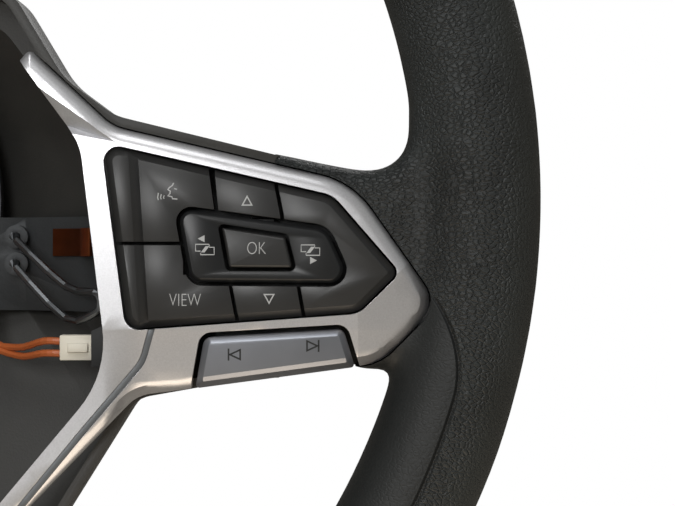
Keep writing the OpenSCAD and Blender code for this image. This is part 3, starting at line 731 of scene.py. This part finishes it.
class WHEEL_OT_leather(bpy.types.Operator):
    """Makes the leather of the rim, with the roots that flow into the spokes"""

    bl_idname = "wheel.leather"
    bl_label = "Rim leather"

    def execute(self, context):
        section = rim_section()
        bpy.ops.object.select_all(action="DESELECT")
        bpy.ops.mesh.primitive_circle_add(vertices=len(section), radius=0.01)
        rim = bpy.context.object
        for v, (r, h) in zip(rim.data.vertices, section):
            v.co = place(r, 0, h)
        bpy.ops.object.mode_set(mode="EDIT")
        bpy.ops.mesh.select_all(action="SELECT")
        bpy.ops.mesh.spin(steps=looks().spin_steps, angle=2 * math.pi, center=(0, 0, 0), axis=(0, 1, 0))
        bpy.ops.object.mode_set(mode="OBJECT")
        outward(rim)
        roots = []
        # How far in and how high each level of a root lies
        levels = ((3.0, ROOT_LOW + 0.4), (0.0, ROOT_LOW + 4), (0.0, FACE - 5.6), (0.8, FACE - 2.6),
                  (2.6, FACE - 0.9))
        for word, side in SIDES:
            roots.append(risen("root_" + word, [(sided(outline(ROOT, d), side), h) for d, h in levels]))
        only(rim, *roots)
        bpy.ops.object.join()
        rim.data.remesh_voxel_size = looks().rim_voxel
        rim.data.remesh_voxel_adaptivity = 0
        bpy.ops.object.voxel_remesh()
        # The hide is drawn smooth over the foam where a root meets the rim
        soft = rim.vertex_groups.new(name="soft")
        for v in rim.data.vertices:
            x, y = abs(v.co.x) * 1000, v.co.z * 1000
            near = unit((x - SOFT_X[0]) / SOFT_X[1]) * unit((SOFT_Y[0] - abs(y)) / SOFT_Y[1])
            soft.add([v.index], max(near, SOFT_LEAST), "REPLACE")
        m = rim.modifiers.new("drawn", "SMOOTH")
        m.factor = 0.5
        m.iterations = 26
        m.vertex_group = "soft"
        apply_all(rim)
        rim.vertex_groups.clear()
        for word, side in SIDES:
            points = sided(outline(TRIM, -0.3), side)
            combine(rim, slab("room_" + word, points, ARM_TOP, FACE + 12))
        for _, side in SIDES:
            self.end_root(rim, side)
        smooth(rim, 45)
        settle(rim, "rim_leather", "wheel", "leather_grained", finish("leather"),
               "grip_leather", "thumb_leather_right", "thumb_leather_left")
        return {"FINISHED"}

    def end_root(self, rim, side):
        """Cuts the root off where the rear cover's strip takes over."""
        only(rim)
        bpy.ops.object.mode_set(mode="EDIT")
        bpy.ops.mesh.select_mode(type="FACE")
        bpy.ops.mesh.select_all(action="DESELECT")
        shape = bmesh.from_edit_mesh(rim.data)
        for face in shape.faces:
            middle = face.calc_center_median()
            face.select = 0.08 < middle.x * side < 0.14 and abs(middle.z) < 0.06
        bmesh.update_edit_mesh(rim.data)
        bpy.ops.mesh.bisect(plane_co=(side * ROOT_END / 1000, 0, 0), plane_no=(side, 0, 0), use_fill=True,
                            clear_inner=True)
        bpy.ops.object.mode_set(mode="OBJECT")


LOWER_EDGE = open_path(TRIM[5:13])
# The rocker's lower edge: one point of it and the way up from it
ROCKER_FOOT = Vector((100.4, -46))
ROCKER_UP = Vector((-0.1322, 0.9912))
# The width of the broad bevel along the lower edge of the trim and of the rocker, in mm
FOOT_BEVEL = 2.6
# The frame's lobe is cut this far up from the rocker's foot
LOBE_UP = 1.6
# The band beside the flank of the keys by the pocket: x of its left edge at y = 0, its lean and its width
BAND = (85.03, 0.0643, 2.3)
# The height of the crease in the trim, and the corner of the wedge with the slopes of its sides and valley
CREASE_Y = -31.6
WEDGE = (81.2, 13.6)
WEDGE_LOW = 0.71
WEDGE_VALLEY = 0.343
WEDGE_HIGH = 0.19


def rocker_line(piece, up):
    """The line that lies so many mm up from the foot of the rocker on the piece's own side."""
    side = math.copysign(1, piece.data.vertices[0].co.x)
    at = ROCKER_FOOT + ROCKER_UP * up
    return (side * at.x, at.y), (side * ROCKER_UP.x, ROCKER_UP.y)


def crown(x, y, height):
    """How far the trim's skin lies below its flat plane, in mm, at x, y of the right-hand side."""
    share = unit((height - 50.0) / 6.0)
    drop = 0.0
    # The bar above the keys leans back towards its outer edge
    if y > -6:
        drop += 0.0011 * (y + 6) ** 2
    # A crease runs from the pocket to the keys' lower corner, and the spoke falls away below it
    fall = CREASE_Y - y
    if fall > 0:
        reach = unit((100 - x) / 14)
        drop += 1.5 * (1 - math.exp(-fall / 10.0)) * (0.75 + 0.25 * reach)
    # A wedge is pressed into the upper end, deepest by the pocket
    a = (y - WEDGE[1]) - (WEDGE[0] - x) * WEDGE_LOW
    b = (y - WEDGE[1]) - (WEDGE[0] - x) * WEDGE_HIGH
    if x < WEDGE[0] and a < 0 < b:
        drop += min(-a, b * 2.4) * 0.55
    # A broad bevel faces down along the lower edge
    if y < -20:
        near = min((p - Vector((x, y))).length for p in LOWER_EDGE)
        drop += max(FOOT_BEVEL - near, 0) * 0.5
    return drop * share


class WHEEL_OT_trim(bpy.types.Operator):
    """Makes the satin trim of both spokes, with its windows, groove and crowned face"""

    bl_idname = "wheel.trim"
    bl_label = "Spoke trim"

    def execute(self, context):
        for word, side in SIDES:
            shoulder = []
            for d, fall in ((0.0, 2.3), (0.35, 1.55), (0.9, 0.95), (1.6, 0.45), (2.3, 0.14), (3.1, 0.0)):
                shoulder.append((outline(TRIM, d), FACE - fall))
            piece = risen("trim", [(outline(TRIM), SKIRT_LOW)] + shoulder)
            hollow = slab("hollow", outline(TRIM, 2.2), SKIRT_LOW - 1, FACE - 4.2)
            combine(piece, hollow)
            cut_through(piece, outline(POCKET + flipped(POCKET)))
            cut_through(piece, outline(KEY_FIELD, -KEY_ROOM))
            cut_through(piece, outline(NOTCH, -NOTCH_ROOM))
            groove = ribbon(open_path(INLAY), 0.8, 0.8)
            combine(piece, slab("groove", groove, FACE - 1.2, FACE + 1))
            bevel(piece, looks().trim_edge, 50)
            bisect(piece, self.rows())
            for v in piece.data.vertices:
                x, y, h = v.co.x * 1000, v.co.z * 1000, -v.co.y * 1000
                v.co.y += crown(x, y, h) / 1000
            if side < 0:
                mirror(piece)
            smooth(piece, 20)
            settle(piece, "trim_skin_" + word, "wheel", "satin_silver", finish("trim"), "trim_" + word)
        return {"FINISHED"}

    def rows(self):
        """Lines that let the skin's face be bent: rows each way, and the forms' own lines."""
        lines = [((x, 0), (1, 0)) for x in range(60, 160, 4)]
        lines += [((0, y), (0, 1)) for y in range(-148, 36, 4)]
        lines += [((0, y), (0, 1)) for y in (CREASE_Y, -32.4, -34.0)]
        return lines + [(WEDGE, (slope, 1)) for slope in (WEDGE_LOW, WEDGE_VALLEY, WEDGE_HIGH)]


class WHEEL_OT_inlay(bpy.types.Operator):
    """Makes the grey line let into each trim"""

    bl_idname = "wheel.inlay"
    bl_label = "Inlay lines"

    def execute(self, context):
        for word, side in SIDES:
            path = open_path(INLAY, steps=14)
            piece = slab("inlay", ribbon(path, 0.78, 0.78), FACE - 1.15, FACE - 0.35)
            cut_through(piece, outline(KEY_FIELD, -KEY_ROOM))
            round_edges(piece, 0.00012, 50)
            bisect(piece, [((0, y), (0, 1)) for y in range(-148, -30, 3)])
            for v in piece.data.vertices:
                v.co.y += crown(v.co.x * 1000, v.co.z * 1000, FACE) / 1000
            if side < 0:
                mirror(piece)
            smooth(piece)
            settle(piece, "inlay_line_" + word, "wheel", "inlay_grey", finish("inlay"), "inlay_" + word)
        return {"FINISHED"}


# Keys and rockers, with their finish
KEYS = (
    ("voice_key", "key"), ("up_key", "key"), ("view_key", "key"), ("down_key", "key"), ("ok_key", "key"),
    ("page_rocker", "ring"), ("assist_key", "key"), ("plus_key", "key"), ("resume_key", "key"),
    ("minus_key", "key"), ("set_key", "key"), ("distance_rocker", "ring"), ("track_rocker", "rocker"),
    ("speed_rocker", "rocker"), ("wing_cover_right", "key"), ("wing_cover_left", "key"))


class WHEEL_OT_keys(bpy.types.Operator):
    """Makes the keys and rockers of both switches, with softened edges"""

    bl_idname = "wheel.keys"
    bl_label = "Keys and rockers"

    def execute(self, context):
        for node, look in KEYS:
            piece = from_nodes(node + "_cap", node)
            if look == "rocker":
                self.slope_foot(piece)
            if node in ("voice_key", "view_key", "assist_key", "resume_key"):
                self.slope_band(piece)
            round_edges(piece, looks().key_edge, 24)
            body = "wheel" if node.startswith("wing_cover") else node
            slot = "rocker_metal" if look == "rocker" else "key_plastic"
            settle(piece, node + "_cap", body, slot, finish(look), node)
        return {"FINISHED"}

    def slope_foot(self, piece):
        """Gives a rocker the broad bevel along its lower edge."""
        bisect(piece, [rocker_line(piece, FOOT_BEVEL)])
        for v in piece.data.vertices:
            from_foot = (Vector((abs(v.co.x), v.co.z)) * 1000 - ROCKER_FOOT).dot(ROCKER_UP)
            share = unit(-v.co.y * 1000 - (KEY_TOP - 4))
            v.co.y += max(FOOT_BEVEL - from_foot, 0) * 0.45 * share / 1000

    def slope_band(self, piece):
        """Lets the band beside the flank fall away towards the key's face."""
        for v in piece.data.vertices:
            across = (abs(v.co.x) * 1000 - BAND[0] + BAND[1] * v.co.z * 1000) / BAND[2]
            if abs(-v.co.y * 1000 - (KEY_TOP - 0.5)) < 0.08 and -0.1 < across < 1.1:
                v.co.y = -(KEY_TOP - 0.04 - unit(across) * 1.2) / 1000


def stroke(points, w=0.36, closed=False):
    """Outlines of a line drawn w mm wide through points: two rings when it is closed."""
    p = [Vector(q) for q in points]
    if closed:
        if sum(a.x * b.y - a.y * b.x for a, b in zip(p, p[1:] + p[:1])) < 0:
            p.reverse()
        return [moved_in(p, -w / 2), moved_in(p, w / 2)]
    return [ribbon(p, w / 2, w / 2)]


def ring_outline(x, y, r, n=24):
    return [(x + r * math.cos(2 * math.pi * i / n), y + r * math.sin(2 * math.pi * i / n)) for i in range(n)]


def sign_mesh(name, rings, height):
    """A thin flat sign filled between outlines, on the surface at that height."""
    curve = bpy.data.curves.new(name, "CURVE")
    curve.dimensions = "2D"
    curve.fill_mode = "BOTH"
    curve.extrude = SIGN_HALF
    for ring in rings:
        spline = curve.splines.new("POLY")
        spline.points.add(len(ring) - 1)
        for point, p in zip(spline.points, ring):
            point.co = (p[0], p[1], 0, 1)
        spline.use_cyclic_u = True
    o = bpy.data.objects.new(name, curve)
    bpy.context.scene.collection.objects.link(o)
    only(o)
    bpy.ops.object.convert(target="MESH")
    return stood(o, 0, 0, height)


def word_mesh(name, text, x, y, width, height):
    """Plain lettering of the given width in mm, its middle at x, y."""
    bpy.ops.object.select_all(action="DESELECT")
    bpy.ops.object.text_add()
    o = bpy.context.object
    o.name = name
    o.data.body = text
    o.data.align_x = "CENTER"
    o.data.extrude = SIGN_HALF
    # The strokes are drawn a little thinner than the plain letters have them
    o.data.offset = -0.02
    only(o)
    bpy.ops.object.convert(target="MESH")
    low = [min(v.co[k] for v in o.data.vertices) for k in (0, 1)]
    high = [max(v.co[k] for v in o.data.vertices) for k in (0, 1)]
    for v in o.data.vertices:
        v.co.x = (v.co.x - (low[0] + high[0]) / 2) * width / (high[0] - low[0])
        v.co.y = (v.co.y - (low[1] + high[1]) / 2) * LETTERS_TALL / (high[1] - low[1])
    return stood(o, x, y, height)


def stood(o, x, y, height):
    """Stands a flat mesh drawn in mm up in front of the driver, as thick as a sign is."""
    for v in o.data.vertices:
        v.co = place(v.co.x + x, v.co.y + y, height + (SIGN_OUT if v.co.z > 0 else -SIGN_IN))
    outward(o)
    return o


def pages(x, y, way):
    """Two open pages, one before the other, with a slash between and a filled arrow beside them."""
    tip = (x - 1.65 * way, y + 2.55 * way)
    arrow = [tip, (x, tip[1] - 0.85), (x, tip[1] + 0.85)]
    if way < 0:
        arrow.reverse()
    near = [(-0.97, -0.43), (-2.17, -0.43), (-2.17, 1.2), (1.1, 1.2), (1.1, 0.7)]
    far = [(1.1, 0.48), (2.32, 0.48), (2.32, -1.3), (-0.97, -1.3), (-0.97, -0.87)]
    slash = [(-0.9, -0.75), (0.0, -0.75), (1.15, 0.75), (0.25, 0.75)]
    near, far, slash = [[(x + px, y + py) for px, py in part] for part in (near, far, slash)]
    return [stroke(near, 0.26), stroke(far, 0.26), [slash]], [arrow]


def track_sign(x, y, way, tall=2.9):
    """A triangle pointing at a bar."""
    tip = x - 1.05 * way
    tri = [(tip, y), (tip + 2.5 * way, y + tall * 0.4), (tip + 2.5 * way, y - tall * 0.4)]
    bar = [(tip - 0.3 * way, y - tall / 2), (tip - 0.3 * way, y + tall / 2)]
    return stroke(tri, 0.4, True), stroke(bar, 0.4)


class WHEEL_OT_signs(bpy.types.Operator):
    """Puts the plain signs on the keys: arrows, pages, a speaking mark and plain words"""

    bl_idname = "wheel.signs"
    bl_label = "Signs on the keys"

    def execute(self, context):
        top = KEY_TOP
        marks = []

        def put(name, rings, body, height=top, look="sign"):
            marks.append((sign_mesh(name, rings, height), name, body, look))

        def letter(name, text, x, y, width, body):
            marks.append((word_mesh(name, text, x, y, width, top), name, body, "sign"))

        # A face that speaks, by the voice key's own place
        profile = [(95.3, 3.7), (95.0, 3.1), (94.2, 2.5), (93.9, 2.1), (94.5, 1.7), (94.4, 1.1), (93.9, 0.6),
                   (94.9, 0.35), (95.0, -0.1), (96.2, -0.2)]
        put("voice_sign", stroke(profile, 0.3), "voice_key")
        for i, (x, h) in enumerate(((92.9, 0.55), (92.2, 0.85), (91.5, 1.15))):
            wave = [(x + 0.12, 0.15 - h / 2), (x - 0.06, 0.15), (x + 0.12, 0.15 + h)]
            put(f"voice_wave_{i}", stroke(wave, 0.26), "voice_key")
        put("voice_lid", stroke([(95.4, 2.35), (96.1, 2.15)], 0.24), "voice_key")
        put("up_sign", stroke([(113.0, 0.45), (114.15, -1.65), (111.85, -1.65)], 0.3, True), "up_key")
        put("down_sign", stroke([(118.3, -25.3), (117.15, -23.2), (119.45, -23.2)], 0.3, True), "down_key")
        letter("ok_word", "OK", 115.3, -12.0, 4.5, "ok_key")
        letter("view_word", "VIEW", 98.05, -24.5, 7.6, "view_key")
        for word, x, y, way in (("back", 102.75, -12.3, 1), ("next", 128.2, -12.45, -1)):
            lines, arrow = pages(x, y, way)
            for i, ring in enumerate(lines):
                put(f"page_{word}_{i}", ring, "page_rocker")
            put(f"page_{word}_arrow", arrow, "page_rocker")
        # The rockers' faces lie a little lower than the keys'
        low = top - 0.2
        for word, x, y, way in (("back", 109.87, -37.7, 1), ("next", 128.9, -35.6, -1)):
            tri, bar = track_sign(x, y, way)
            put(f"track_{word}_tip", tri, "track_rocker", low, "dark_sign")
            put(f"track_{word}_bar", bar, "track_rocker", low, "dark_sign")
        # The other side carries plain signs of a speed holder and a volume rocker
        put("assist_ring", stroke(ring_outline(-94.4, 1.6, 1.75), 0.3, True), "assist_key")
        put("assist_hand", stroke([(-94.4, 1.6), (-93.4, 2.7)], 0.3), "assist_key")
        put("plus_sign", stroke([(-114.2, -0.6), (-111.8, -0.6)], 0.34), "plus_key")
        put("plus_post", stroke([(-113.0, -1.8), (-113.0, 0.6)], 0.34), "plus_key")
        put("minus_sign", stroke([(-119.5, -24.2), (-117.1, -24.2)], 0.34), "minus_key")
        letter("resume_word", "RES", -98.05, -24.5, 6.2, "resume_key")
        letter("set_word", "SET", -115.3, -12.0, 6.0, "set_key")
        for i, (x, w) in enumerate(((-128.2, 2.4), (-102.75, 4.0))):
            for part, y in (("a", -13.2), ("b", -11.6)):
                put(f"gap_bar_{i}_{part}", stroke([(x - w / 2, y), (x + w / 2, y)], 0.3), "distance_rocker")
        for name, line in (("less_sign", [(-130.1, -35.6), (-127.7, -35.6)]),
                           ("more_sign", [(-111.1, -37.7), (-108.7, -37.7)]),
                           ("more_post", [(-109.9, -38.9), (-109.9, -36.5)])):
            put(name, stroke(line, 0.32), "speed_rocker", low, "dark_sign")
        for o, name, body, look in marks:
            slot = "rocker_metal" if body in ("track_rocker", "speed_rocker") else "key_plastic"
            settle(o, name, body, slot, finish(look))
        return {"FINISHED"}


# Finish and rounding in mm of each rigid CAD piece that is shown with softened edges
SOFTENED = (
    ("rear_cover", "cover", "black_plastic", 0.5), ("armature", "casting", "cast_alloy", 0.4),
    ("hub_insert", "steel", "hub_steel", 0.25), ("key_frame_right", "frame", "black_plastic", 0.15),
    ("key_frame_left", "frame", "black_plastic", 0.15), ("main_plug", "frame", "black_plastic", 0.4),
    ("switch_back_right", "frame", "black_plastic", 0.15),
    ("switch_back_left", "frame", "black_plastic", 0.15),
    ("switch_plug_right", "nylon", "plug_white", 0.3), ("switch_plug_left", "nylon", "plug_white", 0.3),
    ("horn_contact_right", "copper", "contact_copper", 0.12),
    ("horn_contact_left", "copper", "contact_copper", 0.12),
    ("switch_screws", "steel", "screw_steel", 0.2), ("cover_screws", "steel", "screw_steel", 0.2))
# CAD nodes whose own shape is right, with their finish
PLAIN = {
    "rim_foam": "foam", "board_right": "board", "board_left": "board", "dome_mat_right": "rubber",
    "dome_mat_left": "rubber", "module_clip_right": "spring", "module_clip_left": "spring",
    "harness_right": "wire", "harness_left": "wire"}


class WHEEL_OT_hub(bpy.types.Operator):
    """Makes the hub, the casting, the rear cover and what lies in the open pocket"""

    bl_idname = "wheel.hub"
    bl_label = "Hub and pocket"

    def execute(self, context):
        for node, look, slot, width in SOFTENED:
            piece = from_nodes(node + "_form", node)
            if node.startswith(("key_frame", "switch_back")):
                # The frame's lobe is cut along the rocker's foot, so that it doesn't show under the rocker
                bisect(piece, [rocker_line(piece, LOBE_UP)], use_fill=True, clear_inner=True)
            round_edges(piece, width / 1000, 40)
            settle(piece, node + "_form", "wheel", slot, finish(look), node)
        for node, look in PLAIN.items():
            o = frame["nodes"][node]
            for i in range(len(o.data.materials)):
                o.data.materials[i] = finish(look)
        return {"FINISHED"}


class WHEEL_OT_stage(bpy.types.Operator):
    """Makes the pale floor and wall, the soft lamps and the camera"""

    bl_idname = "wheel.stage"
    bl_label = "Stage, lamps and camera"

    def execute(self, context):
        low = CAD_BOX[0][2]
        floor = self.sweep(low)
        self.lamp("key", (-0.1, -0.85, 0.14), (0.08, 0, 0), 0.22, 1.9)
        self.lamp("top", (-0.1, -0.8, 1.0), (0.1, 0, 0), 0.7, 6.0)
        self.lamp("bounce", (0.12, -0.135, low + 0.012), (0.12, -0.13, 0), 0.13, 0.12, (1.0, 0.84, 0.66))
        self.lamp("back", (0.45, 0.85, 0.65), (0, 0, 0), 0.5, 3.0)
        world = bpy.data.worlds.new("studio")
        bpy.context.scene.world = world
        world.use_nodes = True
        sky = world.node_tree.nodes["Background"]
        sky.inputs["Color"].default_value = linear("#e2e2df")
        sky.inputs["Strength"].default_value = 0.38
        camera = bpy.data.objects.new("camera", bpy.data.cameras.new("camera"))
        bpy.context.scene.collection.objects.link(camera)
        camera.location = place(*CAMERA)
        camera.rotation_euler = (math.radians(90), 0, 0)
        camera.data.lens = SENSOR * CAMERA_AWAY / WIDTH_SEEN
        camera.data.clip_start = 0.01
        bpy.context.scene.camera = camera
        bpy.context.scene.view_settings.view_transform = "Standard"
        return {"FINISHED"}

    def sweep(self, low):
        """A floor that curves up into a wall behind the wheel."""
        bpy.ops.object.select_all(action="DESELECT")
        bpy.ops.mesh.primitive_plane_add(size=1)
        floor = bpy.context.object
        corners = [(-FLOOR_HALF, -FLOOR_HALF), (FLOOR_HALF, -FLOOR_HALF), (FLOOR_HALF, FLOOR_BACK),
                   (-FLOOR_HALF, FLOOR_BACK)]
        order = sorted(floor.data.vertices, key=lambda v: math.atan2(v.co.y, v.co.x))
        for v, (x, y) in zip(order, corners):
            v.co = (x, y, low)
        bpy.ops.object.mode_set(mode="EDIT")
        bpy.ops.mesh.select_all(action="DESELECT")
        shape = bmesh.from_edit_mesh(floor.data)
        bpy.ops.mesh.select_mode(type="EDGE")
        for edge in shape.edges:
            edge.select = all(v.co.y > FLOOR_BACK - 0.1 for v in edge.verts)
        shape.select_flush(True)
        bmesh.update_edit_mesh(floor.data)
        turns = [math.radians(90 * i / CURVE_STEPS) for i in range(CURVE_STEPS + 1)]
        for b, a in zip(turns, turns[1:]):
            bpy.ops.mesh.extrude_region_move(TRANSFORM_OT_translate={"value": (
                0, CURVE_RADIUS * (math.sin(a) - math.sin(b)), CURVE_RADIUS * (math.cos(b) - math.cos(a)))})
        bpy.ops.mesh.extrude_region_move(TRANSFORM_OT_translate={"value": (0, 0, WALL_HEIGHT)})
        bpy.ops.object.mode_set(mode="OBJECT")
        floor.name = "floor"
        smooth(floor, 60)
        floor.data.materials.append(paper())
        return floor

    def lamp(self, name, at, towards, size, power, colour=(1, 1, 1)):
        light = bpy.data.lights.new(name, "AREA")
        light.shape = "SQUARE"
        light.size = size
        light.energy = power
        light.color = colour
        o = bpy.data.objects.new(name, light)
        bpy.context.scene.collection.objects.link(o)
        o.location = at
        o.rotation_euler = (Vector(towards) - Vector(at)).to_track_quat("-Z", "Y").to_euler()


class WHEEL_PT_looks(bpy.types.Panel):
    """The wheel's pieces, finishes and stage"""

    bl_label = "Steering Wheel"
    bl_space_type = "VIEW_3D"
    bl_region_type = "UI"
    bl_category = "Wheel"

    def draw(self, context):
        for prop in WheelLooks.__annotations__:
            self.layout.prop(context.scene.wheel_looks, prop)
        for operator in OPERATORS:
            self.layout.operator(operator.bl_idname)


OPERATORS = (WHEEL_OT_leather, WHEEL_OT_trim, WHEEL_OT_inlay, WHEEL_OT_keys, WHEEL_OT_signs, WHEEL_OT_hub,
             WHEEL_OT_stage)


def register():
    for cls in (WheelLooks, *OPERATORS, WHEEL_PT_looks):
        bpy.utils.register_class(cls)
    bpy.types.Scene.wheel_looks = PointerProperty(type=WheelLooks)


def unregister():
    del bpy.types.Scene.wheel_looks
    for cls in (WHEEL_PT_looks, *reversed(OPERATORS), WheelLooks):
        bpy.utils.unregister_class(cls)


def main():
    register()
    bpy.ops.wheel.leather()
    bpy.ops.wheel.trim()
    bpy.ops.wheel.inlay()
    bpy.ops.wheel.keys()
    bpy.ops.wheel.signs()
    bpy.ops.wheel.hub()
    bpy.ops.wheel.stage()


if __name__ == "__main__":
    main()
